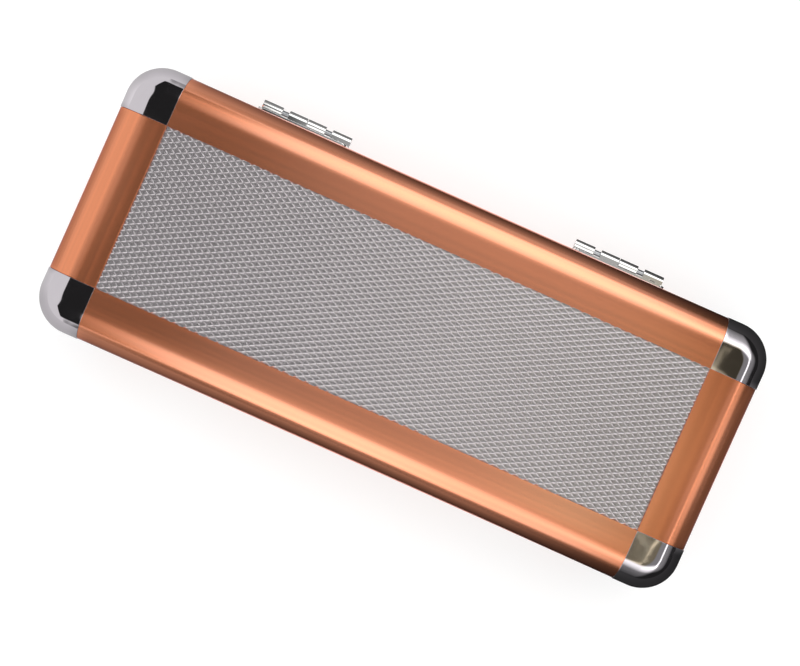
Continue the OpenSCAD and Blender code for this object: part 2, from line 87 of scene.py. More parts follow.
class BoxSizes(bpy.types.PropertyGroup):
    """Sizes of the finishing detail; the main sizes come from the frame."""

    rail_width: FloatProperty(
        name="Rail width", description="Width of a rail seen from above",
        default=24.5 * MM, unit="LENGTH")
    edge_radius: FloatProperty(
        name="Edge radius", description="Radius of the rails' long outer edges",
        default=13 * MM, unit="LENGTH")
    corner_radius: FloatProperty(
        name="Corner radius", description="Radius of the case's upright corners",
        default=17 * MM, unit="LENGTH")
    crown: FloatProperty(
        name="Crown", description="Fall of a rail's flat where its rounded edge begins",
        default=0.08 * MM, unit="LENGTH")
    crown_reach: FloatProperty(
        name="Crown reach", description="How far that fall runs into the flat",
        default=6 * MM, unit="LENGTH")
    rail_ease: FloatProperty(
        name="Rail edge", description="Softened edge of the rails",
        default=0.2 * MM, unit="LENGTH")
    lip: FloatProperty(
        name="Rail lip", description="Rolled lip of the back and left rails at the panel",
        default=0.3 * MM, unit="LENGTH")
    plate_ease: FloatProperty(
        name="Plate edge", description="Softened edge of stamped and turned metal",
        default=0.14 * MM, unit="LENGTH")
    cap_proud: FloatProperty(
        name="Cap proud", description="How far a corner cap stands proud of the rails",
        default=0.3 * MM, unit="LENGTH")
    cap_wall: FloatProperty(
        name="Cap wall", description="Sheet thickness of a corner cap",
        default=1 * MM, unit="LENGTH")
    cap_steps: IntProperty(
        name="Cap steps", description="Steps round each bend of a corner cap", default=22)
    lozenge: FloatProperty(
        name="Lozenge side", description="Side of one lozenge of the pressed panel",
        default=2.89 * MM, unit="LENGTH")
    lozenge_half: FloatProperty(
        name="Lozenge half angle", description="Half of a lozenge's sharp angle",
        default=math.radians(29.3), unit="ROTATION")
    lozenge_turn: FloatProperty(
        name="Pattern turn", description="Turn of the pressed pattern against the case",
        default=math.radians(-1.5), unit="ROTATION")
    ridge: FloatProperty(
        name="Ridge foot", description="Foot of a ridge, as a share of the lozenge",
        default=0.13, subtype="FACTOR")
    emboss: FloatProperty(
        name="Emboss", description="Depth of the pressed lozenges",
        default=0.13 * MM, unit="LENGTH")
    head_ease: FloatProperty(
        name="Rivet head", description="Rounding of the rivet heads",
        default=0.22 * MM, unit="LENGTH")
    hinge_pin_ease: FloatProperty(
        name="Hinge pin end", description="Rounding of the hinge pins' ends",
        default=0.2 * MM, unit="LENGTH")
    small_pin_ease: FloatProperty(
        name="Small pin end", description="Softened ends of the latch pins and strike rivets",
        default=0.1 * MM, unit="LENGTH")
    screw_ease: FloatProperty(
        name="Screw edge", description="Softened edges of the cap screws",
        default=0.15 * MM, unit="LENGTH")
    key_ease: FloatProperty(
        name="Key edge", description="Softened edges of the moulded corner keys",
        default=0.2 * MM, unit="LENGTH")
    pad_ease: FloatProperty(
        name="Lining edge", description="Rounding of the lining's edges",
        default=0.6 * MM, unit="LENGTH")


class BoxColours(bpy.types.PropertyGroup):
    """Colours of the finishes."""

    anodised: FloatVectorProperty(
        name="Anodised", description="Copper anodised rails", subtype="COLOR",
        default=(0.90, 0.298, 0.132))
    chrome: FloatVectorProperty(
        name="Chrome", description="Bright plated steel", subtype="COLOR",
        default=(0.655, 0.615, 0.65))
    nickel: FloatVectorProperty(
        name="Nickel", description="Plated hinges and latches", subtype="COLOR",
        default=(0.78, 0.77, 0.76))
    panel: FloatVectorProperty(
        name="Panel", description="Pressed silver sheet", subtype="COLOR",
        default=(0.54, 0.505, 0.52))
    zinc: FloatVectorProperty(
        name="Zinc", description="Zinc plated pins and screws", subtype="COLOR",
        default=(0.52, 0.53, 0.55))
    lining: FloatVectorProperty(
        name="Lining", description="Flocked lining", subtype="COLOR",
        default=(0.018, 0.018, 0.021))
    moulded: FloatVectorProperty(
        name="Moulded", description="Moulded corner keys", subtype="COLOR",
        default=(0.03, 0.03, 0.032))
    board: FloatVectorProperty(
        name="Board", description="Hard fibreboard", subtype="COLOR",
        default=(0.23, 0.13, 0.06))


class BoxStudio(bpy.types.PropertyGroup):
    """The camera and the levels of the studio light."""

    eye: FloatVectorProperty(
        name="Eye", description="Place of the camera", subtype="TRANSLATION", unit="LENGTH",
        default=(0.62 * MM, 3.79 * MM, 758.28 * MM))
    turn: FloatVectorProperty(
        name="Turn", description="Turn of the camera", subtype="EULER", unit="ROTATION",
        default=(math.radians(-0.592), math.radians(0.330), math.radians(24.083)))
    lens: FloatProperty(name="Lens", description="Focal length in millimetres", default=70.56)
    floor_half: FloatProperty(
        name="Floor half", description="Half of the floor's side", default=4.0, unit="LENGTH")
    floor_grey: FloatProperty(
        name="Floor grey", description="Grey of the floor under the lights", default=0.5)
    floor_lift: FloatProperty(
        name="Floor lift", description="Level added to the floor's own look", default=0.6)
    lamp_power: FloatProperty(
        name="Lamp power", description="Power of the overhead lamp", default=6.0, unit="POWER")
    lamp_side: FloatProperty(
        name="Lamp side", description="Side of the overhead lamp", default=1.0, unit="LENGTH")
    lamp_place: FloatVectorProperty(
        name="Lamp place", description="Place of the overhead lamp", subtype="TRANSLATION",
        unit="LENGTH", default=(-0.15, 0.1, 1.5))
    wall: FloatProperty(
        name="Wall", description="Level of the pale wall on the left", default=0.85)
    softbox: FloatProperty(
        name="Softbox", description="Level of the long softboxes in front and behind", default=2.1)
    strip: FloatProperty(
        name="Strip", description="Level of the narrow strip light on the right", default=2.0)
    middle: FloatProperty(
        name="Middle", description="Level of the ceiling above the middle", default=0.4)
    dark: FloatProperty(
        name="Dark", description="Level of the unlit ceiling", default=0.02)
    cards: FloatVectorProperty(
        name="Cards", description="Half length, half width and height of the ring of cards",
        subtype="XYZ", unit="LENGTH", default=(195 * MM, 110 * MM, 71 * MM))


# ---------- shader expressions ----------

class Value:
    """A shader socket that takes part in Python expressions."""

    def __init__(self, tree, socket):
        self.tree, self.socket = tree, socket

    def maths(self, operation, first, second=None):
        return self.tree.add("ShaderNodeMath", {"operation": operation}, {0: first, 1: second})

    def __add__(self, other):
        return self.maths("ADD", self, other)

    __radd__ = __add__

    def __sub__(self, other):
        return self.maths("SUBTRACT", self, other)

    def __rsub__(self, other):
        return self.maths("SUBTRACT", other, self)

    def __mul__(self, other):
        return self.maths("MULTIPLY", self, other)

    __rmul__ = __mul__

    def __truediv__(self, other):
        return self.maths("DIVIDE", self, other)

    def __rtruediv__(self, other):
        return self.maths("DIVIDE", other, self)

    def __neg__(self):
        return self.maths("MULTIPLY", self, -1.0)

    def __abs__(self):
        return self.maths("ABSOLUTE", self)

    def at_least(self, other):
        return self.maths("MAXIMUM", self, other)

    def at_most(self, other):
        return self.maths("MINIMUM", self, other)

    def wrapped(self):
        """Distance to the nearest whole number."""
        return self.maths("PINGPONG", self, 0.5)

    def step(self, low, high):
        """0 below low, 1 above high and a smooth ramp between."""
        return self.tree.add(
            "ShaderNodeMapRange", {"interpolation_type": "SMOOTHSTEP"},
            {"Value": self, "From Min": low, "From Max": high})

    def within(self, low, high, soft):
        return self.step(low - soft, low + soft) * (1 - self.step(high - soft, high + soft))


class Tree:
    """A node tree whose nodes all come from one method."""

    def __init__(self, owner):
        owner.use_nodes = True
        self.nodes, self.links = owner.node_tree.nodes, owner.node_tree.links

    def put(self, socket, value):
        if isinstance(value, Value):
            self.links.new(value.socket, socket)
        elif value is not None:
            if socket.type == "RGBA" and len(value) == 3:
                value = (*value, 1.0)
            socket.default_value = value

    def add(self, kind, settings=None, sockets=None, output=0):
        node = self.nodes.new(kind)
        for name, value in (settings or {}).items():
            setattr(node, name, value)
        for name, value in (sockets or {}).items():
            self.put(node.inputs[name], value)
        return Value(self, node.outputs[output])

    def place(self):
        return self.add("ShaderNodeTexCoord", output="Object")

    def split(self, vector):
        node = self.add("ShaderNodeSeparateXYZ", sockets={0: vector}).socket.node
        return [Value(self, output) for output in node.outputs]

    def scaled(self, vector, factors):
        return self.add(
            "ShaderNodeVectorMath", {"operation": "MULTIPLY"}, {0: vector, 1: factors})

    def noise(self, vector, scale, detail=2.0, roughness=0.5):
        return self.add(
            "ShaderNodeTexNoise", None,
            {"Vector": vector, "Scale": scale, "Detail": detail, "Roughness": roughness})

    def blend(self, factor, first, second):
        """A mix of two colours, which are the Mix node's inputs 6 and 7 and its output 2."""
        return self.add(
            "ShaderNodeMix", {"data_type": "RGBA"}, {0: factor, 6: first, 7: second}, 2)

    def tinted(self, colour, amount):
        """The colour times an amount."""
        grey = self.add("ShaderNodeCombineXYZ", None, {0: amount, 1: amount, 2: amount})
        return self.add(
            "ShaderNodeMix", {"data_type": "RGBA", "blend_type": "MULTIPLY"},
            {0: 1.0, 6: colour, 7: grey}, 2)

    def bump(self, height, distance, strength=1.0):
        return self.add(
            "ShaderNodeBump", None,
            {"Height": height, "Distance": distance, "Strength": strength})


class Finish(Tree):
    """A procedural material round one Principled shader."""

    def __init__(self, name, **fixed):
        self.material = bpy.data.materials.new(name)
        super().__init__(self.material)
        self.shader = self.nodes["Principled BSDF"]
        self.feed(**fixed)

    def feed(self, **values):
        for name, value in values.items():
            self.put(self.shader.inputs[name.replace("_", " ").title().replace("Ior", "IOR")], value)
        return self.material


def shade(colour, amount):
    return tuple(min(1.0, channel * amount) for channel in colour)


def anodised_finish(name, colour, run, sheen):
    """Satin copper anodising; run is the axis along which the rail was drawn."""
    finish = Finish(
        name, metallic=1.0, specular_tint=shade(colour, 1.1) + (1.0,),
        coat_weight=1.0, coat_roughness=0.12, coat_ior=sheen)
    place = finish.place()

    def drawn(along, across):
        """The place stretched into streaks: so many to the metre along and across the rail."""
        return finish.scaled(place, tuple(along if axis == run else across for axis in range(3)))

    fine = finish.noise(drawn(6.0, 1700.0), 1.0, 2.0, 0.7)
    broad = finish.noise(drawn(1.5, 330.0), 1.0, 1.0)
    cloud = finish.noise(place, 28.0, 3.0)
    tone = 0.25 * fine + 0.6 * broad.step(0.3, 0.7) + 0.15 * cloud
    return finish.feed(
        base_color=finish.blend(tone, shade(colour, 0.86), shade(colour, 1.09)),
        roughness=0.17 + 0.05 * fine + 0.02 * cloud,
        normal=finish.bump(fine + 0.4 * broad, 0.004 * MM))


def plated_finish(name, colour, polish, wave):
    """Bright plate, a little wavy from the press, with faint smears."""
    finish = Finish(name, metallic=1.0)
    place = finish.place()
    smear = finish.noise(place, 70.0, 4.0, 0.6)
    grain = finish.noise(place, 2600.0, 1.0)
    swell = finish.noise(place, 75.0, 1.0)
    return finish.feed(
        base_color=finish.blend(smear, shade(colour, 0.95), shade(colour, 1.05)),
        roughness=polish + 0.05 * smear.step(0.55, 0.8) + 0.02 * grain,
        normal=finish.bump(swell + 0.004 * grain, wave))


def pressed_finish(name, colour, lattice):
    """Pressed silver sheet: a painted highlight lightens the colour on the ridges, which are also a
    little smoother; grained in the lozenges.
    """
    finish = Finish(name, metallic=1.0)
    place = finish.place()
    across, along, _ = finish.split(place)
    first, second = (across * wave.x + along * wave.y for wave in lattice)
    ridge = 1 - first.wrapped().at_most(second.wrapped()).step(0.02, 0.16)
    grain = finish.noise(place, 3200.0, 2.0, 0.6)
    cloud = finish.noise(place, 22.0, 3.0)
    # The ridge term lifts the colour on the ridges: a painted highlight.
    tone = 0.74 + 0.3 * ridge + 0.1 * grain + 0.08 * cloud
    return finish.feed(
        base_color=finish.tinted(colour, tone),
        roughness=0.24 - 0.03 * ridge + 0.05 * grain,
        normal=finish.bump(grain, 0.004 * MM))


def satin_metal_finish(name, colour):
    """Zinc plate: even grey with a faint spangle."""
    finish = Finish(name, metallic=1.0)
    place = finish.place()
    spangle = finish.noise(place, 420.0, 3.0)
    grain = finish.noise(place, 4000.0, 1.0)
    return finish.feed(
        base_color=finish.blend(spangle, shade(colour, 0.85), shade(colour, 1.12)),
        roughness=0.26 + 0.12 * spangle + 0.05 * grain,
        normal=finish.bump(grain, 0.006 * MM))


def flocked_finish(name, colour):
    """Short black pile over foam, brushed unevenly."""
    finish = Finish(name, metallic=0.0, sheen_weight=0.35, sheen_roughness=0.45)
    place = finish.place()
    pile = finish.noise(place, 5200.0, 2.0, 0.7)
    brushed = finish.noise(place, 45.0, 3.0, 0.6)
    return finish.feed(
        base_color=finish.blend(0.6 * brushed + 0.4 * pile, shade(colour, 0.55), shade(colour, 1.6)),
        roughness=0.86 + 0.1 * pile,
        normal=finish.bump(pile + 0.8 * brushed, 0.12 * MM))


def moulded_finish(name, colour):
    finish = Finish(name, metallic=0.0)
    place = finish.place()
    spark = finish.noise(place, 1500.0, 2.0)
    return finish.feed(
        base_color=finish.blend(spark, shade(colour, 0.85), shade(colour, 1.2)),
        roughness=0.46 + 0.12 * spark,
        normal=finish.bump(spark, 0.02 * MM))


def fibreboard_finish(name, colour):
    finish = Finish(name, metallic=0.0)
    place = finish.place()
    fibre = finish.noise(finish.scaled(place, (300.0, 1100.0, 600.0)), 1.0, 4.0, 0.65)
    return finish.feed(
        base_color=finish.blend(fibre, shade(colour, 0.6), shade(colour, 1.35)),
        roughness=0.7 + 0.15 * fibre,
        normal=finish.bump(fibre, 0.05 * MM))


# ---------- pieces ----------

def body_of(node):
    return NODES[node]["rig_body"]


def slot_of(node):
    for part in frame["record"]["subparts"]:
        if part["node"] == node:
            return part["material_slot"]
    raise RuntimeError(f"no material slot for {node}")


def merged(node):
    """A closed copy of a node's mesh with its flat faces made whole."""
    bm = bmesh.new()
    bm.from_mesh(NODES[node].data)
    bmesh.ops.remove_doubles(bm, verts=bm.verts, dist=WELD)
    bmesh.ops.dissolve_limit(
        bm, angle_limit=math.radians(0.3), verts=bm.verts, edges=bm.edges,
        use_dissolve_boundaries=False, delimit=set())
    return bm


def ease(bm, width, segments=2, limit=30.0):
    """Softens every edge that turns by more than the limit, in degrees."""
    sharp = [edge for edge in bm.edges
             if len(edge.link_faces) == 2 and edge.calc_face_angle(0.0) > math.radians(limit)]
    bmesh.ops.bevel(
        bm, geom=sharp, offset=width, offset_type="OFFSET", segments=segments, profile=0.5,
        affect="EDGES", clamp_overlap=True, loop_slide=True, material=-1)


def put(bm, name, material, *nodes, sharp=40.0):
    """Makes the finished piece, which stands for the nodes and moves with their body.

    Edges that turn by more than sharp, in degrees, stay sharp. With None they stay as they are.
    """
    mesh = bpy.data.meshes.new(name)
    bm.to_mesh(mesh)
    bm.free()
    mesh.shade_smooth()
    if sharp is not None:
        mesh.set_sharp_from_angle(angle=math.radians(sharp))
    mesh.materials.append(material)
    piece = bpy.data.objects.new(name, mesh)
    bpy.context.scene.collection.objects.link(piece)
    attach(piece, body_of(nodes[0]))
    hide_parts(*nodes)
    slot_of(nodes[0])
    return piece


def even_shading(piece):
    weighted = piece.modifiers.new("Even shading", "WEIGHTED_NORMAL")
    weighted.keep_sharp = True
    return piece


def eased_piece(node, name, material, width, segments=2, limit=30.0):
    bm = merged(node)
    ease(bm, width, segments, limit)
    return even_shading(put(bm, name, material, node))


def rounded_heads(node, name, material, sizes):
    """Rivets, whose low heads are rounded in more steps and from a smaller turn."""
    return eased_piece(node, name, material, sizes.head_ease, 4, 20.0)


def dress(node, material):
    """Gives a node that stays as it is its finish."""
    slots = NODES[node].data.materials
    slots.clear()
    slots.append(material)


def lattice_waves(sizes):
    """Wave vectors of the pressed pattern, in waves per metre."""
    spacing = sizes.lozenge * math.sin(2 * sizes.lozenge_half)
    waves = []
    for lean in (1, -1):
        angle = sizes.lozenge_turn + lean * sizes.lozenge_half - lean * math.pi / 2
        waves.append(Vector((math.cos(angle), math.sin(angle))) / spacing)
    return waves


# ---------- operators ----------

class ARTBOX_OT_rails(bpy.types.Operator):
    """Finish the eight rails with softened lips and a slight crown"""

    bl_idname = "art_box.rails"
    bl_label = "Rails"

    # Where the crown's reach is cut across, as shares of it from the rounded edge.
    CROWN_CUTS = (0.0, 0.15, 0.3, 0.5, 1.0)

    def execute(self, context):
        sizes, colours = context.scene.box_sizes, context.scene.box_colours
        drawn = {
            0: anodised_finish("copper_anodised_long", colours.anodised, 0, 1.8),
            1: anodised_finish("copper_anodised_end", colours.anodised, 1, 1.5)}
        for half in HALVES:
            for side in SIDES:
                self.rail(sizes, half, side, drawn[0 if side in DEPTHS else 1])
        eased_piece("strike_rivets", "strike_rivet_set", drawn[0], sizes.small_pin_ease)
        return {"FINISHED"}

    def rail(self, sizes, half, side, material):
        node = f"{half}_{side}_rail"
        low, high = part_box(node)
        across = 1 if side in DEPTHS else 0
        inward = 1 if side in ("front", "left") else -1
        outer = low[across] if inward > 0 else high[across]
        up = 1 if half == "lid" else -1
        top = high[2] if half == "lid" else low[2]
        bm = merged(node)
        normal = Vector((0, 0, 0))
        normal[across] = 1
        for share in self.CROWN_CUTS:
            at = (outer + inward * (sizes.edge_radius + share * sizes.crown_reach)) * normal
            bmesh.ops.bisect_plane(
                bm, geom=bm.verts[:] + bm.edges[:] + bm.faces[:], dist=10 * WELD,
                plane_co=at, plane_no=normal)
        for vert in bm.verts:
            run = (vert.co[across] - outer) * inward - sizes.edge_radius
            below = abs(vert.co.z - top)
            if run < 0:
                vert.co.z -= up * sizes.crown * max(0, 1 - below / sizes.edge_radius)
            elif run < sizes.crown_reach and below < NEAR:
                vert.co.z -= up * sizes.crown * (1 - run / sizes.crown_reach) ** 3
        ease(bm, sizes.lip if side in ("back", "left") else sizes.rail_ease)
        even_shading(put(bm, f"{node}_finished", material, node))


class ARTBOX_OT_corner_caps(bpy.types.Operator):
    """Form the eight pressed corner caps"""

    bl_idname = "art_box.corner_caps"
    bl_label = "Corner caps"

    def execute(self, context):
        sizes, colours = context.scene.box_sizes, context.scene.box_colours
        chrome = plated_finish("cap_chrome", colours.chrome, 0.03, 0.12 * MM)
        for half in HALVES:
            for depth in DEPTHS:
                for hand in HANDS:
                    self.cap(sizes, half, depth, hand, chrome)
        return {"FINISHED"}

    def cap(self, sizes, half, depth, hand, chrome):
        node = f"{half}_cap_{depth}_{hand}"
        low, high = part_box(node)
        bm = self.sheet(sizes, high[2] - low[2])
        bmesh.ops.scale(bm, verts=bm.verts, vec=(
            1 if hand == "right" else -1, 1 if depth == "back" else -1, 1 if half == "lid" else -1))
        if (hand == "left") ^ (depth == "front") ^ (half == "base"):
            bmesh.ops.reverse_faces(bm, faces=bm.faces)
        reach = sizes.corner_radius + sizes.cap_proud
        bmesh.ops.translate(bm, verts=bm.verts, vec=(
            high[0] - reach if hand == "right" else low[0] + reach,
            high[1] - reach if depth == "back" else low[1] + reach,
            low[2] if half == "lid" else high[2]))
        piece = put(bm, f"{node}_pressed", chrome, node)
        wall = piece.modifiers.new("Wall", "SOLIDIFY")
        wall.thickness, wall.offset, wall.use_even_offset = sizes.cap_wall, -1.0, True
        rim = piece.modifiers.new("Rim", "BEVEL")
        rim.width, rim.segments, rim.limit_method = sizes.plate_ease, 2, "ANGLE"
        rim.angle_limit = math.radians(50)
        even_shading(piece)

    def sheet(self, sizes, tall):
        """The outer skin of the lid's back right cap, round the corner's upright axis."""
        bend = sizes.edge_radius + sizes.cap_proud
        flat = sizes.corner_radius - sizes.edge_radius
        leg = sizes.rail_width - sizes.corner_radius
        bm = bmesh.new()
        start = bmesh.ops.create_vert(bm, co=(flat, 0, tall))["vert"][0]
        arc = bmesh.ops.spin(
            bm, geom=[start], cent=(flat, 0, tall - bend), axis=(0, 1, 0),
            angle=math.pi / 2, steps=sizes.cap_steps)
        foot = self.of_type(bmesh.types.BMVert, arc["geom_last"])[0]
        for vert, move in ((start, (-flat, 0, 0)), (foot, (0, 0, bend - tall))):
            grown = bmesh.ops.extrude_vert_indiv(bm, verts=[vert])["verts"]
            bmesh.ops.translate(bm, verts=grown, vec=move)
        swept = bmesh.ops.spin(
            bm, geom=bm.verts[:] + bm.edges[:], cent=(0, 0, 0), axis=(0, 0, 1),
            angle=math.pi / 2, steps=sizes.cap_steps)
        first = [edge for edge in bm.edges if all(abs(vert.co.y) < NEAR for vert in edge.verts)]
        last = self.of_type(bmesh.types.BMEdge, swept["geom_last"])
        self.grow(bm, first, (0, -leg, 0))
        self.grow(bm, last, (-leg, 0, 0))
        bmesh.ops.remove_doubles(bm, verts=bm.verts, dist=WELD)
        inner = [edge for edge in bm.edges
                 if all(abs(vert.co.x) < NEAR and vert.co.y < NEAR for vert in edge.verts)]
        self.grow(bm, inner, (-leg, 0, 0))
        bmesh.ops.remove_doubles(bm, verts=bm.verts, dist=WELD)
        bmesh.ops.recalc_face_normals(bm, faces=bm.faces)
        if sum(face.normal.z * face.calc_area() for face in bm.faces) < 0:
            bmesh.ops.reverse_faces(bm, faces=bm.faces)
        return bm

    def grow(self, bm, edges, move):
        grown = bmesh.ops.extrude_edge_only(bm, edges=edges)["geom"]
        bmesh.ops.translate(bm, verts=self.of_type(bmesh.types.BMVert, grown), vec=move)

    @staticmethod
    def of_type(kind, items):
        return [item for item in items if isinstance(item, kind)]


class ARTBOX_OT_panels(bpy.types.Operator):
    """Press the lozenge pattern into the lid's and the base's skins"""

    bl_idname = "art_box.panels"
    bl_label = "Pressed panels"

    # Height across a ridge, from its top over one foot and the hollow to the next foot.
    CREST = (1.0, 0.2, 0.0, 0.2)
    # Height along a ridge of each family, low where ridges cross and highest half-way.
    RUNS = ((0.4, 0.55, 1.0, 0.55), (0.4, 0.5, 0.6, 0.5))

    def execute(self, context):
        sizes, colours = context.scene.box_sizes, context.scene.box_colours
        waves = lattice_waves(sizes)
        material = pressed_finish("pressed_silver", colours.panel, waves)
        for half in HALVES:
            self.panel(sizes, half, waves, material)
        return {"FINISHED"}

    def panel(self, sizes, half, waves, material):
        low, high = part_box(f"{half}_skin")
        bm = self.relief(sizes, waves, low, high)
        self.trim(bm, low, high)
        rim = [edge for edge in bm.edges if edge.is_boundary]
        grown = bmesh.ops.extrude_edge_only(bm, edges=rim)["geom"]
        for item in grown:
            if isinstance(item, bmesh.types.BMVert):
                item.co.z = low[2]
        bmesh.ops.edgeloop_fill(
            bm, edges=[item for item in grown if isinstance(item, bmesh.types.BMEdge)])
        bmesh.ops.recalc_face_normals(bm, faces=bm.faces)
        if half == "base":
            for vert in bm.verts:
                vert.co.z = low[2] + high[2] - vert.co.z
            bmesh.ops.reverse_faces(bm, faces=bm.faces)
        put(bm, f"{half}_skin_pressed", material, f"{half}_skin", sharp=None)

    def relief(self, sizes, waves, low, high):
        """A sheet of ridges in two families, larger than the skin and sharp along their tops."""
        parts = len(self.CREST)
        reach = (max(-low[0], high[0]), max(-low[1], high[1]))
        cells = [2 * math.ceil(abs(wave.x) * reach[0] + abs(wave.y) * reach[1]) for wave in waves]
        feet = (0.0, sizes.ridge, 0.5, 1 - sizes.ridge)
        unit = Matrix((waves[0], waves[1])).inverted()
        bm = bmesh.new()
        bmesh.ops.create_grid(
            bm, x_segments=parts * cells[0], y_segments=parts * cells[1], size=0.5)
        tops = (set(), set())
        for vert in bm.verts:
            steps = [round((vert.co[axis] + 0.5) * parts * cells[axis]) for axis in (0, 1)]
            phase = Vector([step // parts + feet[step % parts] - cells[axis] / 2
                            for axis, step in enumerate(steps)])
            spot = unit @ phase
            first, second = steps[0] % parts, steps[1] % parts
            rise = max(self.CREST[first] * self.RUNS[0][second],
                       self.CREST[second] * self.RUNS[1][first])
            vert.co = (spot.x, spot.y, high[2] - (1 - rise) * sizes.emboss)
            for family, step in zip(tops, (first, second)):
                if step == 0:
                    family.add(vert)
        for edge in bm.edges:
            edge.smooth = not any(family.issuperset(edge.verts) for family in tops)
        return bm

    def trim(self, bm, low, high):
        """Cuts the sheet to the skin's own edges."""
        for axis in (0, 1):
            for end, sign in ((low, -1), (high, 1)):
                at, out = Vector((0, 0, 0)), Vector((0, 0, 0))
                at[axis], out[axis] = end[axis], sign
                bmesh.ops.bisect_plane(
                    bm, geom=bm.verts[:] + bm.edges[:] + bm.faces[:], dist=WELD,
                    plane_co=at, plane_no=out, clear_outer=True)


class ARTBOX_OT_hinges(bpy.types.Operator):
    """Finish the hinge leaves, their pins and rivets"""

    bl_idname = "art_box.hinges"
    bl_label = "Hinges"

    def execute(self, context):
        sizes, colours = context.scene.box_sizes, context.scene.box_colours
        nickel = plated_finish("hinge_plate", colours.nickel, 0.07, 0.01 * MM)
        zinc = satin_metal_finish("hinge_pin_zinc", colours.zinc)
        for hand in HANDS:
            for half in HALVES:
                node = f"{half}_hinge_leaf_{hand}"
                eased_piece(node, f"{node}_stamped", nickel, sizes.plate_ease)
            node = f"hinge_pin_{hand}"
            eased_piece(node, f"{node}_turned", zinc, sizes.hinge_pin_ease, 3)
        for half in HALVES:
            rounded_heads(f"{half}_hinge_rivets", f"{half}_hinge_rivet_heads", nickel, sizes)
        return {"FINISHED"}


class ARTBOX_OT_latches(bpy.types.Operator):
    """Finish the draw latches and their strikes"""

    bl_idname = "art_box.latches"
    bl_label = "Latches"

    def execute(self, context):
        sizes, colours = context.scene.box_sizes, context.scene.box_colours
        nickel = plated_finish("latch_plate", colours.nickel, 0.08, 0.015 * MM)
        zinc = satin_metal_finish("latch_zinc", colours.zinc)
        for hand in HANDS:
            for part, material in (("latch_housing", nickel), ("lever", nickel), ("claw", nickel),
                                   ("strike", zinc), ("claw_pin", zinc)):
                node = f"{part}_{hand}"
                eased_piece(node, f"{node}_finished", material, sizes.plate_ease)
        rounded_heads("latch_rivets", "latch_rivet_heads", nickel, sizes)
        eased_piece("latch_pivot_pins", "latch_pivot_pin_set", zinc, sizes.small_pin_ease)
        return {"FINISHED"}


class ARTBOX_OT_lining(bpy.types.Operator):
    """Round and flock the lining of both halves"""

    bl_idname = "art_box.lining"
    bl_label = "Lining"

    def execute(self, context):
        sizes, colours = context.scene.box_sizes, context.scene.box_colours
        flock = flocked_finish("black_flock", colours.lining)
        for half in HALVES:
            eased_piece(f"{half}_liner", f"{half}_liner_flocked", flock, sizes.pad_ease, 4)
        return {"FINISHED"}


class ARTBOX_OT_inner_parts(bpy.types.Operator):
    """Finish the corner keys, cap screws and panel boards"""

    bl_idname = "art_box.inner_parts"
    bl_label = "Inner parts"

    def execute(self, context):
        sizes, colours = context.scene.box_sizes, context.scene.box_colours
        moulded = moulded_finish("corner_key_plastic", colours.moulded)
        zinc = satin_metal_finish("cap_screw_zinc", colours.zinc)
        board = fibreboard_finish("panel_fibreboard", colours.board)
        for half in HALVES:
            for depth in DEPTHS:
                for hand in HANDS:
                    node = f"{half}_key_{depth}_{hand}"
                    eased_piece(node, f"{node}_moulded", moulded, sizes.key_ease)
            eased_piece(f"{half}_cap_screws", f"{half}_cap_screw_set", zinc, sizes.screw_ease)
            dress(f"{half}_board", board)
        return {"FINISHED"}


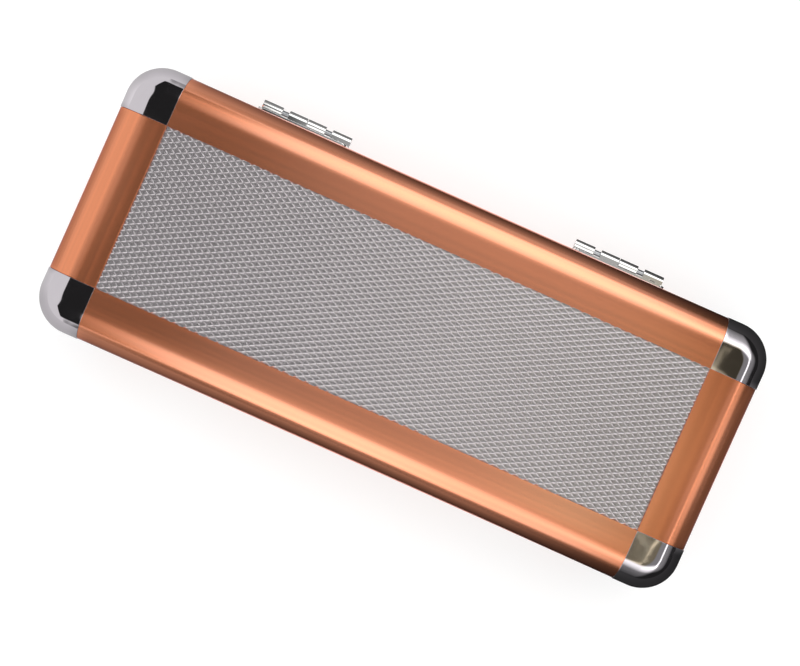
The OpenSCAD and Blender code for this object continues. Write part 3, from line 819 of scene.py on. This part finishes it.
class Ceiling:
    """The studio over the case, as the metal mirrors it.

    A direction is known by where it meets a plane one unit up: x runs to the right and y to the
    back, and away is the distance from the middle to the front or the back. Near the horizon and
    below it, everything is white.
    """

    OVER_RAILS = (0.17, 0.178)
    CREAM = (1.0, 0.88, 0.6)
    GOLD = (0.78, 1.0, 0.82)

    def __init__(self, tree, studio):
        self.studio = studio
        east, north, up = tree.split(tree.add("ShaderNodeTexCoord", output="Generated"))
        height = up.at_least(0.02)
        self.x, self.y = east / height, north / height
        self.away = abs(self.y)
        self.behind = self.y.step(-0.01, 0.01)
        self.right = east.step(0.16, 0.175)
        self.far = self.away.step(1.7, 1.9)
        self.slant = 0.03 + 0.19 * self.away
        self.inside = (self.away - 0.15 * self.right).step(0.11, 0.33)
        self.near = self.x.step(0.25, 0.35)
        # What a rail on the right mirrors, and the caps beside it don't.
        self.lane = 1 - abs(north + 0.0077).step(0.04, 0.046)
        gold = self.gold()
        cream = self.x.step(0.1, 0.17) * (1 - self.near) * (1 - self.inside)
        level = studio.dark + self.softboxes() + self.right_side() + self.middle()
        level = level + 0.5 * gold + self.over_right_caps(cream)
        high = up.step(0.04, 0.12)
        self.colour = tree.blend(gold, tree.blend(cream, WHITE, self.CREAM), self.GOLD)
        self.strength = level * high + 1 - high

    def wall(self):
        """The pale wall on the left, which comes closer near the middle."""
        edge = (0.2 + 0.7 * self.away).at_most(0.66).at_least(self.slant)
        close = (-(self.x + edge)).step(0.0, 0.04)
        return close.at_least(self.far * (-(self.x + self.slant)).step(-0.03, 0.03))

    def softboxes(self):
        """The wall, and the long softboxes in front and behind with their fainter tails."""
        wall = self.wall()
        left_end = 0.13 + 0.07 * self.away
        room = (self.x + left_end + self.far * (self.slant - left_end)).step(-0.03, 0.03)
        room = room * (1 - self.x.step(0.6, 1.2)) * (1 - wall)
        beyond = (self.away - 2.0 + 1.2 * self.right).step(-0.4, 0.4)
        tail = (0.34 + 0.34 * self.behind) * beyond
        tail = tail * (1 - self.right + self.right / self.away.at_least(1.0))
        boxes = self.studio.softbox * self.inside * (1 - beyond) + tail
        boxes = boxes * (1 - 0.5 * (-self.x).step(0.2, 0.4))
        boxes = boxes * (1 - 0.25 * self.x.step(0.02, 0.09) * (1 - self.behind))
        return self.studio.wall * wall + boxes * room

    def right_side(self):
        """A dim panel on the right, a strip of small lights on it and a glow low down."""
        x, lane = self.x, self.lane
        side = (0.26 + 0.5 * lane) * self.near
        side = side * (1 - x.step(1.2, 2.5)) * (1 - self.away.step(0.6, 1.2))
        dots = 0.35 + 0.65 * (170.0 * self.y).wrapped().step(0.1, 0.25)
        strip = self.studio.strip * (1 - 0.75 * lane) * dots
        strip = strip * x.within(0.72, 0.9, 0.03) * (1 - self.away.step(0.4, 0.7))
        return side + strip + lane * x.step(0.9, 1.1) * (0.3 + 0.5 / x.at_least(1.0))

    def middle(self):
        """What the rails' flats mirror, brighter to the right in front."""
        over = self.x.step(-0.15, -0.07) * (1 - self.x.step(*self.OVER_RAILS)) * (1 - self.inside)
        return (self.studio.middle + (0.35 - 0.27 * self.behind) * self.x.step(0.0, 0.15)) * over

    def gold(self):
        """Share of the golden patch over the front rail's right end."""
        reach = self.x.step(0.085, 0.15) * (1 - self.x.step(0.165, self.OVER_RAILS[1]))
        return reach * (1 - self.behind) * (1 - self.away.step(0.08, 0.14))

    def over_right_caps(self, cream):
        """What the right caps' flats mirror, with one bright seam in front."""
        level = 0.19 - 0.15 * self.behind + (0.23 + 0.15 * self.behind) * self.lane
        seam = self.x.within(0.204, 0.211, 0.002) * (1 - self.behind) * (1 - self.inside)
        return cream * level + seam


class ARTBOX_OT_studio(bpy.types.Operator):
    """Set the camera, the pale floor and the soft studio light"""

    bl_idname = "art_box.studio"
    bl_label = "Studio"

    def execute(self, context):
        self.camera(context)
        self.floor(context)
        self.cards(context)
        self.light(context)
        context.scene.view_settings.view_transform = "Standard"
        return {"FINISHED"}

    def camera(self, context):
        studio = context.scene.box_studio
        data = bpy.data.cameras.new("view_from_above")
        data.lens, data.sensor_width = studio.lens, 36.0
        camera = bpy.data.objects.new("view_from_above", data)
        context.scene.collection.objects.link(camera)
        camera.location, camera.rotation_euler = studio.eye, studio.turn
        context.scene.camera = camera

    def stand(self, context, name, bm, material):
        """Puts a piece of the stage in the scene."""
        mesh = bpy.data.meshes.new(name)
        bm.to_mesh(mesh)
        bm.free()
        mesh.materials.append(material)
        item = bpy.data.objects.new(name, mesh)
        context.scene.collection.objects.link(item)
        return item

    def floor(self, context):
        """A grey floor that takes the shadow, lifted to white for rays that see it or mirror it."""
        studio = context.scene.box_studio
        grey = shade(WHITE, studio.floor_grey)
        matte = Finish("pale_floor", base_color=grey, roughness=0.9, specular_ior_level=0.0)
        rays = matte.add("ShaderNodeLightPath").socket.node.outputs
        seen, mirrored, clear = (
            Value(matte, rays[f"Is {kind} Ray"]) for kind in ("Camera", "Glossy", "Transmission"))
        lift = studio.floor_lift * seen.at_least(mirrored).at_least(clear)
        glow = matte.add("ShaderNodeEmission", None, {"Color": WHITE, "Strength": lift})
        lit = matte.add("ShaderNodeAddShader", None, {
            0: Value(matte, matte.shader.outputs[0]), 1: glow})
        matte.put(matte.nodes["Material Output"].inputs["Surface"], lit)
        bm = bmesh.new()
        bmesh.ops.create_grid(bm, x_segments=8, y_segments=8, size=studio.floor_half)
        self.stand(context, "floor", bm, matte.material)

    def cards(self, context):
        """A ring of cards round the case, pale on the left and dark on the right.

        Only mirrors see it: it gives the metal its rims and casts neither light nor shadow.
        """
        studio = context.scene.box_studio
        material = bpy.data.materials.new("card")
        tree = Tree(material)
        across, along, upward = tree.split(tree.place())
        lane = 1 - abs(along + 0.002).step(0.038, 0.044)
        rise = across.maths("POWER", upward / studio.cards[2], 3.0)
        level = 0.22 - 0.14 * across.step(-0.16, 0.0) - 0.06 * across.step(0.0, 0.15)
        level = level + 0.2 * (1 - across.step(-0.18, -0.16))
        level = level + 0.27 * (1 - across.step(-0.14, -0.128)) * (1 - lane)
        level = level + 0.14 * across.step(0.1, 0.15) * lane
        top = (0.25 + 0.12 * along.step(-0.05, 0.05)) * (1 - 0.9 * across.step(0.05, 0.15))
        glow = tree.add("ShaderNodeEmission", None, {
            "Color": tree.tinted(WHITE, level + top * rise), "Strength": 1.0})
        tree.put(tree.nodes["Material Output"].inputs["Surface"], glow)
        bm = bmesh.new()
        bmesh.ops.create_cone(bm, segments=96, radius1=1.0, radius2=1.0, depth=1.0)
        bmesh.ops.scale(bm, vec=studio.cards, verts=bm.verts)
        bmesh.ops.translate(bm, vec=(0.0, 0.0, studio.cards[2] / 2), verts=bm.verts)
        ring = self.stand(context, "reflector_cards", bm, material)
        ring.visible_camera = ring.visible_diffuse = ring.visible_shadow = False

    def light(self, context):
        studio = context.scene.box_studio
        world = bpy.data.worlds.new("studio")
        context.scene.world = world
        tree = Tree(world)
        ceiling = Ceiling(tree, studio)
        sky = tree.nodes["Background"]
        tree.put(sky.inputs["Color"], ceiling.colour)
        tree.put(sky.inputs["Strength"], ceiling.strength)
        lamp = bpy.data.lights.new("overhead_softbox", "AREA")
        lamp.shape, lamp.size, lamp.energy = "SQUARE", studio.lamp_side, studio.lamp_power
        holder = bpy.data.objects.new("overhead_softbox", lamp)
        holder.location = studio.lamp_place
        holder.visible_glossy = False
        context.scene.collection.objects.link(holder)


PIECES = (
    ARTBOX_OT_rails, ARTBOX_OT_corner_caps, ARTBOX_OT_panels, ARTBOX_OT_hinges,
    ARTBOX_OT_latches, ARTBOX_OT_lining, ARTBOX_OT_inner_parts, ARTBOX_OT_studio)


class ARTBOX_PT_sidebar(bpy.types.Panel):
    """Lists the pieces of the art supply box"""

    bl_idname = "ARTBOX_PT_sidebar"
    bl_label = "Art supply box"
    bl_space_type = "VIEW_3D"
    bl_region_type = "UI"
    bl_category = "Art box"

    def draw(self, context):
        for piece in PIECES:
            self.layout.operator(piece.bl_idname)
        scene = context.scene
        for group in (scene.box_sizes, scene.box_colours, scene.box_studio):
            for name in group.__annotations__:
                self.layout.prop(group, name)


CLASSES = (BoxSizes, BoxColours, BoxStudio, *PIECES, ARTBOX_PT_sidebar)


def register():
    for item in CLASSES:
        bpy.utils.register_class(item)
    bpy.types.Scene.box_sizes = PointerProperty(type=BoxSizes)
    bpy.types.Scene.box_colours = PointerProperty(type=BoxColours)
    bpy.types.Scene.box_studio = PointerProperty(type=BoxStudio)


def unregister():
    del bpy.types.Scene.box_studio
    del bpy.types.Scene.box_colours
    del bpy.types.Scene.box_sizes
    for item in reversed(CLASSES):
        bpy.utils.unregister_class(item)


def main():
    register()
    for piece in PIECES:
        group, name = piece.bl_idname.split(".")
        getattr(getattr(bpy.ops, group), name)()


if __name__ == "__main__":
    main()
